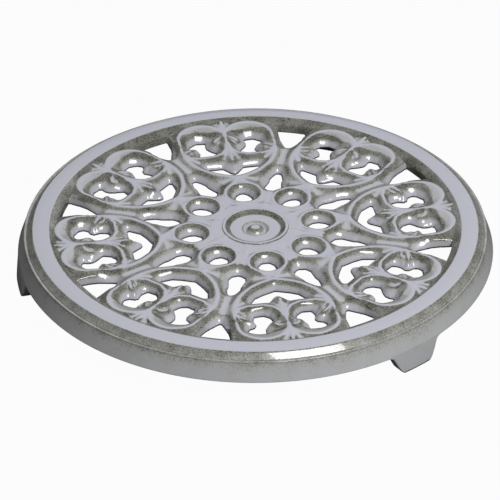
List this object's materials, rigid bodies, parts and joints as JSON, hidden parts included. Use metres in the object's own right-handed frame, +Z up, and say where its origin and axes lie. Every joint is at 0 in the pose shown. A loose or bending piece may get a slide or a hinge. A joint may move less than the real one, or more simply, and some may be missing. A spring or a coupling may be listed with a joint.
{
  "type": "trivet",
  "caption": "Round enamelled cast-iron trivet with an openwork disc of hearts, lilies and round eyes inside a flat rim on short feet.",
  "frame": {"origin": "middle of the disc, on the table that the three feet stand on", "axes": "+Z up through the hub, heart 1 points to -Y, foot 1 is at -X"},
  "size_m": [0.2312, 0.23, 0.023],
  "materials": {
    "grey_enamel": "glossy lavender-grey vitreous enamel, thin and olive-brown on slopes and edges"
  },
  "bodies": {
    "root": {"rim": "grey_enamel", "foot_1": "grey_enamel", "foot_2": "grey_enamel", "foot_3": "grey_enamel", "hub": "grey_enamel", "centre_button": "grey_enamel", "eye_1": "grey_enamel", "eye_2": "grey_enamel", "eye_3": "grey_enamel", "eye_4": "grey_enamel", "eye_5": "grey_enamel", "eye_6": "grey_enamel", "eye_7": "grey_enamel", "eye_8": "grey_enamel", "heart_1": "grey_enamel", "heart_2": "grey_enamel", "heart_3": "grey_enamel", "heart_4": "grey_enamel", "heart_5": "grey_enamel", "heart_6": "grey_enamel", "heart_7": "grey_enamel", "heart_8": "grey_enamel"}
  },
  "joints": []
}
